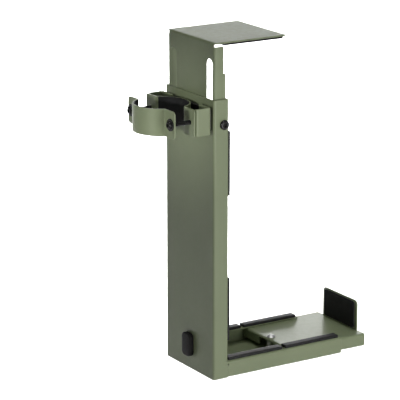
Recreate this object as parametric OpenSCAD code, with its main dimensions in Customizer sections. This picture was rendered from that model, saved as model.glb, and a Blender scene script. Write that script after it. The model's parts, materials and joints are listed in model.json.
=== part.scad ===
// Under-desk computer holder on a round desk leg, in millimetres.
// The origin is on the leg's axis, half way up the leg clamp. +Z is up, +X runs from the leg
// towards the computer, and "front" is the -Y side. Most pieces are drawn in the frame's own
// coordinates, where x = 0 is the back of the upright and z = 0 is the underside of the base,
// and on_frame() moves them to the origin. Pieces drawn about the leg's axis need no move.

/* [Frame] */
// Width of the folded channels, front to back
channel_w = 120; // [110:1:130]
// Depth of the channel section, from the web to the lips
channel_d = 23; // [21.5:0.5:26]
// Height of the upright channel
column_h = 379.5; // [370:0.5:400]
// Reach of the base channel from the back of the upright
base_l = 207; // [203:1:220]
// Width of the lips folded inwards along both channels
lip_w = 14; // [13:0.5:16]
// Thickness of the steel sheet
sheet_t = 2; // [1.8:0.1:2.2]
// Outside radius of the bends in the sheet
bend_r = 3; // [2.6:0.1:3.4]

/* [Rubber strips] */
// Length of each strip
strip_l = 86.5; // [70:0.5:88]
// Width of each strip
strip_w = 11.6; // [8:0.1:12.5]
// Thickness of each strip
strip_t = 4; // [2:0.5:4.5]
// Gap between the corner of the frame and the first strip on the base
base_strip_start = 2.3; // [1:0.1:3]
// Gap between the two strips in a row on the base
base_strip_gap = 4.8; // [3:0.1:6]
// Heights of the lower ends of the strips on the upright
column_strip_z = [51, 249.5]; // [40:0.1:260]

/* [Height slider] */
// Width of the sliding channel inside the upright
slider_w = 114.6; // [112:0.1:115]
// Height of the slider's lower end
slider_bottom = 191; // [170:1:200]
// Height of the top plate's upper face
top_h = 453.7; // [447:0.1:455]
// Length of the top plate, from the slider's back
top_l = 109.2; // [80:0.1:120]
// Height of the slit under the top plate
top_slit = 3.7; // [2:0.1:5]
// Depth of the slider's flanges where they run inside the upright
slider_d = 17; // [15:0.1:17.4]
// Depth of the slider's flanges above the step
slider_top_d = 14; // [10:0.1:15]
// Height of the step in the flanges
slider_step = 412.5; // [400:0.5:430]
// Width of the two long slots
slot_w = 16; // [14:0.5:18]
// Distance between the two slots' centre lines
slot_pitch = 88.8; // [80:0.1:92]
// Heights of the ends of the slots
slot_ends = [241.5, 431.6]; // [235:0.1:435]
// Thickness of the foam under the top plate
top_pad_t = 3.3; // [1.5:0.1:3.6]

/* [Width extension] */
// Width of the tray that slides in the base
tray_w = 115; // [112:0.1:115.4]
// Start of the sliding tray along the base
tray_x = 122; // [118:1:130]
// Length of the sliding tray
tray_l = 126; // [110:1:130]
// Height of the sliding tray's top face
tray_top = 20.6; // [19:0.1:20.8]
// Width of the turned-up end stop
stop_w = 80.4; // [60:0.1:84]
// Height of the end stop's top edge
stop_h = 63; // [45:1:80]
// Radius of the end stop's top corners
stop_r = 6; // [3:0.5:10]
// Travel of the tray towards the upright and away from it
tray_travel = [105, 25]; // [20:1:105]

/* [Leg clamp] */
// Diameter of the desk leg
leg_d = 70; // [66:0.5:72]
// Gap between the leg and the upright
leg_gap = 7.5; // [7:0.1:9]
// Height of the clamp's centre above the underside of the base
clamp_h = 353; // [345:0.5:355]
// Height of the strap and of both liners
strap_h = 36; // [25:1:40]
// Height of the bracket behind the leg
bracket_h = 36; // [25:1:40]
// Thickness of the two liners
liner_t = 1; // [0.5:0.1:1.2]
// Distance between the two clamp screws
screw_pitch = 99; // [96:0.5:100]
// Width across the strap's two ears
strap_w = 117; // [114:1:118]
// Distance of the strap's ears from the leg's axis
strap_ear_x = 14; // [12:0.5:16]
// Distance of the bracket's ears from the leg's axis
bracket_ear_x = 12.5; // [10:0.5:14]

/* [Fasteners] */
// Nominal thread diameter
thread_d = 6; // [5:0.5:6]
// Clearance hole diameter
hole_d = 6.6; // [6.5:0.1:7]
// Width across the flats of a hex nut
nut_af = 10; // [9:0.5:10]

/* [Hidden] */
$fn = 64;

front = -1;
rear = 1;
leg_r = leg_d / 2;
web_x = leg_r + leg_gap;           // back face of the upright, from the leg's axis
over = 1;                          // how far a cut runs past the face it goes through
slider_gap = 0.3;                  // running gap between the upright's web and the slider
tray_bottom = 3.6;                 // underside of the sliding tray's flanges
band_r = leg_r + liner_t;          // inside of the steel band round the leg
inner_bend = bend_r - sheet_t;
ear_bend = sheet_t;                // inside radius where a band turns into an ear
spacer_t = 4.3;
foot_x = web_x - spacer_t;         // face of the bracket's feet towards the upright
bolt_x = tray_x + 9;               // tray bolt along the base
flange_depth = tray_top - tray_bottom;
strip_inset = 1.3;                 // of the strips from the middle of the lips
strip_y = channel_w / 2 - lip_w / 2 - strip_inset;
height_screw = [15.5, 346];        // place of the height screws on the upright's flanges
nut_t = 5;
head_d = 10.5;                     // button head screws
head_t = 3.3;
washer_t = 1.5;
washer_d = 16;
square_neck = 6;                   // under the tray bolt's head
relief_r = 1.1;                    // hole at the inner corner of the frame
green = [0.46, 0.50, 0.40];
black = [0.08, 0.08, 0.085];
steel = [0.72, 0.73, 0.74];

// Moves a piece drawn in the frame's coordinates to the origin on the leg's axis
module on_frame() {
    translate([web_x, 0, -clamp_h]) children();
}

// Extrudes a section along +X from x0: its x points up from z0, or down from z0
module along_x_up(x0, z0, length) {
    translate([x0, 0, z0]) mirror([0, 0, 1]) rotate([0, 90, 0]) linear_extrude(length) children();
}

module along_x_down(x0, z0, length) {
    translate([x0, 0, z0]) rotate([0, 90, 0]) linear_extrude(length) children();
}

// Rectangle from x = 0 to depth, centred on y = 0, with four rounded corners
module rounded_rect(width, depth, r) {
    translate([r, -width / 2]) square([depth - 2 * r, width]);
    translate([0, -width / 2 + r]) square([depth, width - 2 * r]);
    for (x = [r, depth - r], y = [-1, 1])
        translate([x, y * (width / 2 - r)]) circle(r);
}

// Closed loop of sheet with bent corners
module sheet_loop(width, depth) {
    difference() {
        rounded_rect(width, depth, bend_r);
        translate([sheet_t, 0]) rounded_rect(width - 2 * sheet_t, depth - 2 * sheet_t, inner_bend);
    }
}

// Channel section, open on the far side: plain flanges, no lips
module plain_channel(width, depth) {
    intersection() {
        sheet_loop(width, depth + 2 * bend_r);
        translate([0, -width / 2]) square([depth, width]);
    }
}

// Channel section with lips folded inwards
module lipped_channel() {
    difference() {
        sheet_loop(channel_w, channel_d);
        translate([channel_d / 2, lip_w - channel_w / 2]) square([channel_d, channel_w - 2 * lip_w]);
    }
}

// Cylinder along X from x0, for the holes through the sheet and for discs
module rod_x(r, y, z, x0, length) {
    translate([x0, y, z]) rotate([0, 90, 0]) cylinder(r = r, h = length);
}

// Notch that relieves the corner of the flanges where the two channels meet
module corner_relief() {
    below = 5;
    translate([channel_d, channel_w, channel_d - below]) rotate([90, 0, 0])
        cylinder(r = relief_r, h = 2 * channel_w);
}

module upright_channel() {
    color(green) on_frame() difference() {
        union() {
            linear_extrude(channel_d) plain_channel(channel_w, channel_d);
            translate([0, 0, channel_d]) linear_extrude(column_h - channel_d) lipped_channel();
        }
        corner_relief();
        for (side = [front, rear]) {
            rod_x(hole_d / 2, side * slot_pitch / 2, clamp_h, -over, sheet_t + 2 * over);
            translate([height_screw[0], side * (channel_w / 2 + 1), height_screw[1]])
                rotate([side * 90, 0, 0]) cylinder(d = thread_d, h = sheet_t + 2 * over);
        }
    }
}

module base_channel() {
    corner = inner_bend + 0.2;
    inside = channel_w / 2 - sheet_t;
    slot = [bolt_x - tray_travel[0], bolt_x + tray_travel[1]];
    color(green) on_frame() difference() {
        union() {
            along_x_up(channel_d, 0, base_l - channel_d) lipped_channel();
            linear_extrude(sheet_t) polygon([
                [sheet_t, -inside + corner], [sheet_t + corner, -inside], [channel_d, -inside],
                [channel_d, inside], [sheet_t + corner, inside], [sheet_t, inside - corner]]);
        }
        corner_relief();
        translate([slot[0], -hole_d / 2, -over]) cube([slot[1] - slot[0], hole_d, sheet_t + 2 * over]);
        for (x = slot)
            translate([x, 0, -over]) cylinder(d = hole_d, h = sheet_t + 2 * over);
    }
}

// Rubber strip along +X, lying on z = 0, with its two long top edges rounded
module strip() {
    edge = 1;
    rotate([90, 0, 90]) linear_extrude(strip_l) {
        translate([-strip_w / 2, 0]) square([strip_w, strip_t - edge]);
        translate([-strip_w / 2 + edge, 0]) square([strip_w - 2 * edge, strip_t]);
        for (y = [-1, 1])
            translate([y * (strip_w / 2 - edge), strip_t - edge]) circle(edge);
    }
}

module base_strip(side, number) {
    start = channel_d + base_strip_start + number * (strip_l + base_strip_gap);
    color(black) on_frame() translate([start, side * strip_y, channel_d]) strip();
}

module column_strip(side, number) {
    color(black) on_frame() translate([channel_d, side * strip_y, column_strip_z[number] + strip_l])
        rotate([0, 90, 0]) strip();
}

module base_strip_front_inner() { base_strip(front, 0); }
module base_strip_front_outer() { base_strip(front, 1); }
module base_strip_rear_inner() { base_strip(rear, 0); }
module base_strip_rear_outer() { base_strip(rear, 1); }
module column_strip_front_lower() { column_strip(front, 0); }
module column_strip_front_upper() { column_strip(front, 1); }
module column_strip_rear_lower() { column_strip(rear, 0); }
module column_strip_rear_upper() { column_strip(rear, 1); }

// Rubber block low on the upright's back, which keeps the upright parallel to the leg
module leg_bumper() {
    size = [leg_gap - 0.1, 20, 32];
    low = 18.5;
    color(black) on_frame() translate([-size[0], 0, low]) rotate([0, 90, 0]) mirror([1, 0, 0])
        linear_extrude(size[0]) rounded_rect(size[1], size[2], 6);
}

// Steel band half round the leg on the -X side, from one ear's bend to the other's
module band_2d(ear_x) {
    turn_x = ear_x + sheet_t + ear_bend;
    turn_r = band_r + sheet_t + ear_bend;
    turn_y = sqrt(turn_r * turn_r - turn_x * turn_x);
    angle = atan2(turn_y, turn_x);
    far = 2 * turn_r;
    intersection() {
        ring_2d(band_r, sheet_t);
        polygon(concat([[0, 0]], [for (a = [-1, -0.5, 0, 0.5, 1])
            [-far * cos(a * angle), far * sin(a * angle)]]));
    }
    for (side = [front, rear]) scale([1, side]) translate([-turn_x, turn_y]) intersection() {
        ring_2d(ear_bend, sheet_t);
        polygon([[0, 0], [far, 0], [far, -far * tan(angle)]]);
    }
}

module ring_2d(r, t) {
    difference() {
        circle(r + t, $fn = 128);
        circle(r, $fn = 128);
    }
}

// Height along Y where an ear starts, past its bend
function ear_start(ear_x) = sqrt(pow(band_r + sheet_t + ear_bend, 2) - pow(ear_x + sheet_t + ear_bend, 2));

// Rubber liner bonded inside half of the clamp, on the -X side
module liner_2d(ear_x) {
    angle = atan2(ear_start(ear_x), ear_x + sheet_t + ear_bend);
    intersection() {
        ring_2d(leg_r, liner_t);
        polygon(concat([[0, 0]], [for (a = [-1, -0.5, 0, 0.5, 1])
            [-2 * leg_r * cos(a * angle), 2 * leg_r * sin(a * angle)]]));
    }
}

module clamp_strap() {
    ear_r = 5;
    start = ear_start(strap_ear_x);
    ear_x = -strap_ear_x - sheet_t;
    color(green) difference() {
        union() {
            translate([0, 0, -strap_h / 2]) linear_extrude(strap_h) band_2d(strap_ear_x);
            for (side = [front, rear]) scale([1, side, 1]) {
                translate([ear_x, start, -strap_h / 2])
                    cube([sheet_t, strap_w / 2 - start - ear_r, strap_h]);
                translate([ear_x, start, ear_r - strap_h / 2])
                    cube([sheet_t, strap_w / 2 - start, strap_h - 2 * ear_r]);
                for (z = [-1, 1])
                    rod_x(ear_r, strap_w / 2 - ear_r, z * (strap_h / 2 - ear_r), ear_x, sheet_t);
            }
        }
        for (side = [front, rear])
            rod_x(hole_d / 2, side * screw_pitch / 2, 0, ear_x - over, sheet_t + 2 * over);
    }
}

module strap_liner() {
    color(black) translate([0, 0, -strap_h / 2]) linear_extrude(strap_h) liner_2d(strap_ear_x);
}

module bracket_liner() {
    color(black) rotate([0, 0, 180]) translate([0, 0, -strap_h / 2])
        linear_extrude(strap_h) liner_2d(bracket_ear_x);
}

// Folded bracket behind the leg: a half-round saddle, two ears, two side walls and two feet
module clamp_bracket() {
    depth = foot_x - bracket_ear_x;
    foot_y = 33;
    color(green) difference() {
        translate([0, 0, -bracket_h / 2]) linear_extrude(bracket_h) {
            rotate(180) band_2d(bracket_ear_x);
            difference() {
                translate([bracket_ear_x, 0]) sheet_loop(channel_w, depth);
                translate([bracket_ear_x - 1, -ear_start(bracket_ear_x)])
                    square([depth / 2 + 1, 2 * ear_start(bracket_ear_x)]);
                translate([bracket_ear_x + depth / 2 - 1, -foot_y]) square([depth, 2 * foot_y]);
            }
        }
        for (side = [front, rear]) {
            rod_x(hole_d / 2, side * screw_pitch / 2, 0, bracket_ear_x - over, sheet_t + 2 * over);
            rod_x(hole_d / 2, side * slot_pitch / 2, 0, foot_x - sheet_t - over, sheet_t + 2 * over);
        }
    }
}

// Plastic plate between the bracket's feet and the upright
module bracket_spacer() {
    size = [spacer_t, 108, 30];
    color(black) difference() {
        translate([foot_x, -size[1] / 2, -size[2] / 2]) cube(size);
        for (side = [front, rear])
            rod_x(hole_d / 2, side * slot_pitch / 2, 0, foot_x - over, size[0] + 2 * over);
    }
}

// Hex nut on an axis along X, from x0 towards +X
module nut_x(x0, y) {
    translate([x0, y, 0]) rotate([0, 90, 0]) difference() {
        cylinder(d = nut_af / cos(30), h = nut_t, $fn = 6);
        translate([0, 0, -over]) cylinder(d = thread_d, h = nut_t + 2 * over);
    }
}

// Button head screw along +Z: the head below z = 0 and the shank above it
module button_screw(length, head = head_d, height = head_t, shank_d = thread_d - 0.1) {
    socket_af = 4;
    difference() {
        union() {
            cylinder(d = shank_d, h = length);
            rotate_extrude() difference() {
                translate([0, -height]) square([head / 2, height]);
                polygon([[head / 2 + 1, -0.3 * height], [head / 2, -0.3 * height],
                    [0.42 * head, -0.75 * height], [0.33 * head, -height], [0.33 * head, -height - 1],
                    [head / 2 + 1, -height - 1]]);
            }
        }
        translate([0, 0, -height - 1]) cylinder(d = socket_af / cos(30), h = 1 + 0.6 * height, $fn = 6);
    }
}

module clamp_nuts() {
    color(black) for (side = [front, rear]) nut_x(bracket_ear_x + sheet_t, side * screw_pitch / 2);
}

module bracket_nuts() {
    color(steel) for (side = [front, rear]) nut_x(foot_x - sheet_t - nut_t, side * slot_pitch / 2);
}

module bracket_screws() {
    past_nut = 2;
    grip = sheet_t + spacer_t + sheet_t;
    color(steel) for (side = [front, rear])
        translate([web_x + sheet_t, side * slot_pitch / 2, 0]) rotate([0, -90, 0])
            button_screw(grip + nut_t + past_nut);
}

module strap_washers() {
    color(black) for (side = [front, rear]) difference() {
        rod_x(washer_d / 2, side * screw_pitch / 2, 0, -strap_ear_x - sheet_t - washer_t, washer_t);
        rod_x(hole_d / 2, side * screw_pitch / 2, 0, -strap_ear_x - sheet_t - 2 * washer_t, 3 * washer_t);
    }
}

module clamp_screw(side) {
    length = 45;
    color(black) translate([-strap_ear_x - sheet_t - washer_t, side * screw_pitch / 2, 0])
        rotate([0, 90, 0]) button_screw(length);
}

module clamp_screw_front() { clamp_screw(front); }
module clamp_screw_rear() { clamp_screw(rear); }

// Screw through an upright's flange, which presses on the slider to hold its height
module height_screw(side) {
    stand_off = 0.3;
    length = (channel_w - slider_w) / 2 + stand_off - 0.1;
    head = [13.2, 3.4];
    color(black) on_frame()
        translate([height_screw[0], side * (channel_w / 2 + stand_off), height_screw[1]])
            rotate([side * 90, 0, 0]) button_screw(length, head[0], head[1]);
}

module height_screw_front() { height_screw(front); }
module height_screw_rear() { height_screw(rear); }

// Turned sheet profile of the slider's web and top plate, seen from the front
module top_bend_2d(low) {
    high = top_h - low;
    difference() {
        rounded_corner_2d(top_l, high, bend_r);
        translate([sheet_t, -1]) rounded_corner_2d(top_l, high - sheet_t + 1, inner_bend);
    }
}

// Rectangle from the origin with its top left corner rounded
module rounded_corner_2d(width, height, r) {
    translate([r, 0]) square([width - r, height]);
    square([width, height - r]);
    translate([r, height - r]) circle(r);
}

module upper_slider() {
    flange_top = top_h - sheet_t - top_slit;
    neck_w = slider_w - 2 * bend_r;
    slot_r = slot_w / 2;
    color(green) on_frame() translate([slider_gap + sheet_t, 0, 0]) difference() {
        union() {
            translate([0, 0, slider_bottom]) linear_extrude(flange_top - slider_bottom)
                plain_channel(slider_w, slider_d);
            translate([0, slider_w / 2, flange_top]) rotate([90, 0, 0]) linear_extrude(slider_w)
                top_bend_2d(flange_top);
        }
        for (side = [front, rear]) {
            scale([1, side, 1]) translate([-1, neck_w / 2, flange_top])
                cube([slider_d + 2, bend_r + 1, top_slit]);
            for (z = [slot_ends[0] + slot_r, slot_ends[1] - slot_r])
                rod_x(slot_r, side * slot_pitch / 2, z, -over, sheet_t + 2 * over);
            translate([-over, side * slot_pitch / 2 - slot_r, slot_ends[0] + slot_r])
                cube([sheet_t + 2 * over, slot_w, slot_ends[1] - slot_ends[0] - slot_w]);
        }
        translate([slider_top_d, -slider_w, slider_step])
            cube([slider_d, 2 * slider_w, flange_top + top_slit - slider_step]);
    }
}

module top_pad() {
    margin = [16.2, 1.7, 2.3];     // from the plate's back, front edge and sides
    color(black) on_frame()
        translate([slider_gap + sheet_t + margin[0], margin[2] - slider_w / 2, top_h - sheet_t - top_pad_t])
            cube([top_l - margin[0] - margin[1], slider_w - 2 * margin[2], top_pad_t]);
}

module sliding_tray() {
    tab_depth = 13.5;
    notch_w = 32;
    neck_hole = square_neck + 0.2;
    end_x = tray_x + tray_l;
    color(green) on_frame() difference() {
        union() {
            along_x_down(tray_x, tray_top, tray_l) plain_channel(tray_w, flange_depth);
            translate([tray_x, -tray_w / 2 + bend_r, tray_top - tab_depth])
                cube([sheet_t, tray_w - 2 * bend_r, tab_depth - sheet_t / 2]);
            translate([end_x, 0, tray_top - sheet_t]) rotate([0, -90, 0])
                linear_extrude(sheet_t) intersection() {
                    rounded_rect(stop_w, stop_h - tray_top + sheet_t, stop_r);
                    translate([0, -stop_w / 2]) square([stop_h, stop_w]);
                }
            translate([end_x - sheet_t, -stop_w / 2, tray_top - sheet_t])
                cube([sheet_t, stop_w, sheet_t + stop_r]);
        }
        translate([tray_x - 1, -notch_w / 2, 0]) cube([sheet_t + 1, notch_w, tray_top - sheet_t]);
        translate([bolt_x - neck_hole / 2, -neck_hole / 2, tray_top - sheet_t - over])
            cube([neck_hole, neck_hole, sheet_t + 2 * over]);
    }
}

module end_stop_pad() {
    margin = [4.7, 2.3];           // at the sides and along the top
    low = tray_top + 2;
    pad_t = 2;
    color(black) on_frame()
        translate([tray_x + tray_l - sheet_t - pad_t, margin[0] - stop_w / 2, low])
            cube([pad_t, stop_w - 2 * margin[0], stop_h - margin[1] - low]);
}

// Cup head bolt with a square neck, which holds the sliding tray to the base's slot
module tray_bolt() {
    head = [12.5, 3.3];
    tip = -11;
    color(steel) on_frame() translate([bolt_x, 0, 0]) {
        translate([0, 0, tip]) cylinder(d = thread_d, h = tray_top - sheet_t / 2 - tip);
        translate([-square_neck / 2, -square_neck / 2, tray_top - sheet_t])
            cube([square_neck, square_neck, sheet_t]);
        translate([0, 0, tray_top]) rotate_extrude() intersection() {
            translate([0, cup_centre(head)]) circle(cup_radius(head));
            square([head[0] / 2, head[1]]);
        }
    }
}

// Radius and centre height of a cup head, from its diameter and height
function cup_radius(head) = (head[0] * head[0] / 4 + head[1] * head[1]) / (2 * head[1]);
function cup_centre(head) = head[1] - cup_radius(head);

// Sleeve round the bolt, which keeps the tray from folding when the nut is tightened
module tray_bush() {
    low = sheet_t + 0.4;
    height = tray_top - sheet_t - low;
    color(steel) on_frame() translate([bolt_x, 0, low]) difference() {
        cylinder(d = 12, h = height);
        translate([0, 0, -over]) cylinder(d = hole_d, h = height + 2 * over);
    }
}

module tray_washer() {
    gap = 0.1;
    color(steel) on_frame() translate([bolt_x, 0, -gap - washer_t]) difference() {
        cylinder(d = 18, h = washer_t);
        translate([0, 0, -over]) cylinder(d = hole_d, h = washer_t + 2 * over);
    }
}

module tray_wing_nut() {
    boss = [12, 6.5];
    top = -washer_t - 0.2;
    span = 30;
    wing = [3, 9];
    wing_y = (span - wing[1]) / 2;
    color(steel) on_frame() translate([bolt_x, 0, top]) difference() {
        union() {
            translate([0, 0, -boss[1]]) cylinder(d = boss[0], h = boss[1]);
            for (side = [front, rear]) {
                translate([-wing[0] / 2, side * wing_y / 2 - wing_y / 2, -boss[1]])
                    cube([wing[0], wing_y, boss[1] - 1]);
                translate([-wing[0] / 2, side * wing_y, 1 - boss[1]]) rotate([0, 90, 0])
                    cylinder(d = wing[1], h = wing[0]);
            }
        }
        translate([0, 0, -2 * boss[1]]) cylinder(d = thread_d + 0.1, h = 3 * boss[1]);
    }
}

upright_channel();
base_channel();
base_strip_front_inner();
base_strip_front_outer();
base_strip_rear_inner();
base_strip_rear_outer();
column_strip_front_lower();
column_strip_front_upper();
column_strip_rear_lower();
column_strip_rear_upper();
leg_bumper();
clamp_bracket();
bracket_spacer();
bracket_liner();
bracket_screws();
bracket_nuts();
clamp_nuts();
upper_slider();
top_pad();
height_screw_front();
height_screw_rear();
sliding_tray();
end_stop_pad();
tray_bolt();
tray_bush();
tray_washer();
tray_wing_nut();
clamp_strap();
strap_liner();
strap_washers();
clamp_screw_front();
clamp_screw_rear();
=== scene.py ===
"""A computer holder for a round desk leg: folded, powder-coated sheet with rubber, foam and fasteners.
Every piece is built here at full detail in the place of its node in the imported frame. Shapes are worked
out in millimetres and become metres when a mesh is made."""
import json
import math

import bpy
from mathutils import Matrix, Vector, noise
from mathutils.geometry import delaunay_2d_cdt, intersect_line_line_2d


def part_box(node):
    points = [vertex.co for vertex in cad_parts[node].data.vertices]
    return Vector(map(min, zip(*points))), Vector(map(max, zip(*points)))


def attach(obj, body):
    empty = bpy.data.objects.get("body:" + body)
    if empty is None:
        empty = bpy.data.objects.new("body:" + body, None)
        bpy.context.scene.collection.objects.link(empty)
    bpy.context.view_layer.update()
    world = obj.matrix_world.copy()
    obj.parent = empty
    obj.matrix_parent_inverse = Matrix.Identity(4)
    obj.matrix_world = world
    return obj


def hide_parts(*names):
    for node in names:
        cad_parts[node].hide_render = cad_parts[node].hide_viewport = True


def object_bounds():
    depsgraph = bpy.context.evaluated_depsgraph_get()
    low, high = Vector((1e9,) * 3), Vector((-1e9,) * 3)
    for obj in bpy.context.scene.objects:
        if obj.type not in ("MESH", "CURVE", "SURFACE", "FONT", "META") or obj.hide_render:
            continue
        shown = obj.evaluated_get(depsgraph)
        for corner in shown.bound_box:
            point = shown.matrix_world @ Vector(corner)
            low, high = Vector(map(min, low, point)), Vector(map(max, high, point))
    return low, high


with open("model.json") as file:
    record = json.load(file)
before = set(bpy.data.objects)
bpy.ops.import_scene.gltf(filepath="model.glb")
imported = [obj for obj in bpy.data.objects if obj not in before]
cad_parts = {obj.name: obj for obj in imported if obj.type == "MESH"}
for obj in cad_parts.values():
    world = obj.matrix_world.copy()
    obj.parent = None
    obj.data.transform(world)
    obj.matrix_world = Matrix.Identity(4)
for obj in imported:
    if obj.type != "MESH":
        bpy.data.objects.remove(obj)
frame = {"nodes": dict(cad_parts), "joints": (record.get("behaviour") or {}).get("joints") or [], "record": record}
cad_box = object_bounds()

MM = 0.001
SIDES = {"front": -1, "rear": 1}

# Sheet metal
SHEET = 2.0            # thickness
BEND = 2.0             # radius of the bends at the middle of the sheet
OUTER = BEND + SHEET / 2
EDGE = 0.45            # radius of the coated edges
ARC = BEND * math.pi / 2
FOLD_STEPS = 6         # fewest steps in a bend
FOLD_GAP = 3.0         # longest step in a wide one
SHARP = 35             # degrees between faces from which an edge is shaded sharp

# M6 fasteners
CLEARANCE = 6.6        # holes that a screw passes through
TAPPED = 6.0           # holes that a screw is driven into
THREAD_R = 2.93
THREAD_PITCH = 1.0
THREAD_DEPTH = 0.5
NUT_BORE_R = 3.0
NUT_FLATS = 10.0
WASHER_R = 8.0

# Which body holds each node, then the nodes' corners in millimetres
BODY = {node: body for body, nodes in frame["record"]["behaviour"]["bodies"].items() for node in nodes}


def corners(node):
    low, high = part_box(node)
    return low / MM, high / MM


column_low, column_high = corners("upright_channel")
base_high = corners("base_channel")[1]
slider_low, slider_high = corners("upper_slider")
tray_low, tray_high = corners("sliding_tray")
strap_low, strap_high = corners("clamp_strap")
bracket_low, bracket_high = corners("clamp_bracket")
bolt_low, bolt_high = corners("tray_bolt")

CHANNEL_W = column_high.y - column_low.y
CHANNEL_D = column_high.x - column_low.x
COLUMN_H = column_high.z - column_low.z
LIP = 14.0                                           # width of the channels' lips
HOLDER = Vector((column_low.x, 0, column_low.z))     # back of the upright, at the base's underside

WIDTH_SLIDE = next(joint for joint in frame["joints"] if joint["name"] == "width_slide")
TRAY_TRAVEL = [abs(v) / MM for v in WIDTH_SLIDE["range_m"]]
BOLT_X = (bolt_low.x + bolt_high.x) / 2 - HOLDER.x
BOLT_HEAD_D = bolt_high.x - bolt_low.x
BOLT_HEAD_H = 3.3


# ---------------- meshes

def make_piece(node, points, faces, normals=None):
    """Turns millimetre points and faces into a piece that stands for a node and moves with its body."""
    mesh = bpy.data.meshes.new(node + "_piece")
    mesh.from_pydata([Vector(p) * MM for p in points], [], faces)
    mesh.validate()
    mesh.polygons.foreach_set("use_smooth", [True] * len(mesh.polygons))
    if normals:
        mesh.normals_split_custom_set_from_vertices([Vector(n).normalized() for n in normals])
    else:
        mesh.set_sharp_from_angle(angle=math.radians(SHARP))
    mesh.update()
    piece = bpy.data.objects.new(node + "_piece", mesh)
    bpy.context.scene.collection.objects.link(piece)
    slot = frame["nodes"][node].data.materials[0].name.split(".")[0]
    mesh.materials.append(FINISH[slot])
    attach(piece, BODY[node])
    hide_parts(node)
    return piece


class Parts:
    """Collects points, faces and normals of several closed shells of one piece."""

    def __init__(self):
        self.points, self.faces, self.normals = [], [], []

    def add(self, points, faces, normals=None, place=Matrix()):
        start = len(self.points)
        turn = place.to_3x3()
        flip = turn.determinant() < 0
        self.points += [place @ Vector(p) for p in points]
        self.faces += [[start + i for i in (reversed(f) if flip else f)] for f in faces]
        if normals:
            self.normals += [turn @ Vector(n) for n in normals]
        return self


def build_surface(node, surface, place):
    """Piece of one closed surface."""
    parts = Parts().add(*surface, place=place)
    return make_piece(node, parts.points, parts.faces)


def axes(x, y, z, origin=(0, 0, 0)):
    """Matrix that sends the local axes to the given directions, from an origin."""
    made = Matrix((x, y, z)).transposed().to_4x4()
    made.translation = Vector(origin)
    return made


# ---------------- folded sheet

def rounded(outline, steps=5):
    """Closed outline through (u, v, radius) corners, each corner rounded by an arc of its radius."""
    loop = []
    for i, (u, v, radius) in enumerate(outline):
        here = Vector((u, v))
        before = (Vector(outline[i - 1][:2]) - here).normalized()
        after = (Vector(outline[(i + 1) % len(outline)][:2]) - here).normalized()
        if radius == 0 or abs(before.dot(after)) > 0.9999:
            loop.append(here)
            continue
        half = math.acos(before.dot(after)) / 2
        centre = here + (before + after).normalized() * radius / math.sin(half)
        start = here + before * radius / math.tan(half) - centre
        end = here + after * radius / math.tan(half) - centre
        first = math.atan2(start.y, start.x)
        sweep = (math.atan2(end.y, end.x) - first + math.pi) % (2 * math.pi) - math.pi
        for k in range(steps + 1):
            turn = first + sweep * k / steps
            loop.append(centre + radius * Vector((math.cos(turn), math.sin(turn))))
    return loop


def mirrored(half):
    """Whole outline from its right half, listed from the bottom to the top."""
    return half + [(-u, v, radius) for u, v, radius in reversed(half)]


def slot_hole(u, low, high, width):
    """Slot along v with round ends; holes run clockwise, with the sheet on their left."""
    side = width / 2
    loop = rounded([(u - side, low, side), (u + side, low, side), (u + side, high, side),
                    (u - side, high, side)], 10)
    return loop[::-1]


def round_hole(u, v, diameter, steps=32):
    return [Vector((u, v)) + diameter / 2 * Vector((math.cos(a), -math.sin(a)))
            for a in (2 * math.pi * k / steps for k in range(steps))]


def split(loop, lines):
    """Adds a point to the outline wherever a fold line crosses it."""
    made = []
    for i, start in enumerate(loop):
        end = loop[(i + 1) % len(loop)]
        made.append(start)
        hits = [intersect_line_line_2d(start, end, a, b) for a, b in lines]
        hits = [h for h in hits if h is not None and (h - start).length > 1e-3 and (h - end).length > 1e-3]
        made += sorted(hits, key=lambda h: (h - start).length)
    return made


def outward(loop, i):
    """Corner direction away from the sheet, and how much longer it is than a straight offset."""
    a = (loop[i] - loop[i - 1]).normalized()
    b = (loop[(i + 1) % len(loop)] - loop[i]).normalized()
    out = Vector((a.y + b.y, -a.x - b.x))
    return out / (1 + a.dot(b))


def inside(point, loops):
    count = 0
    for loop in loops:
        for i, b in enumerate(loop):
            a = loop[i - 1]
            if (a.y > point.y) != (b.y > point.y):
                count += point.x < a.x + (point.y - a.y) * (b.x - a.x) / (b.y - a.y)
    return count % 2 == 1


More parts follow.
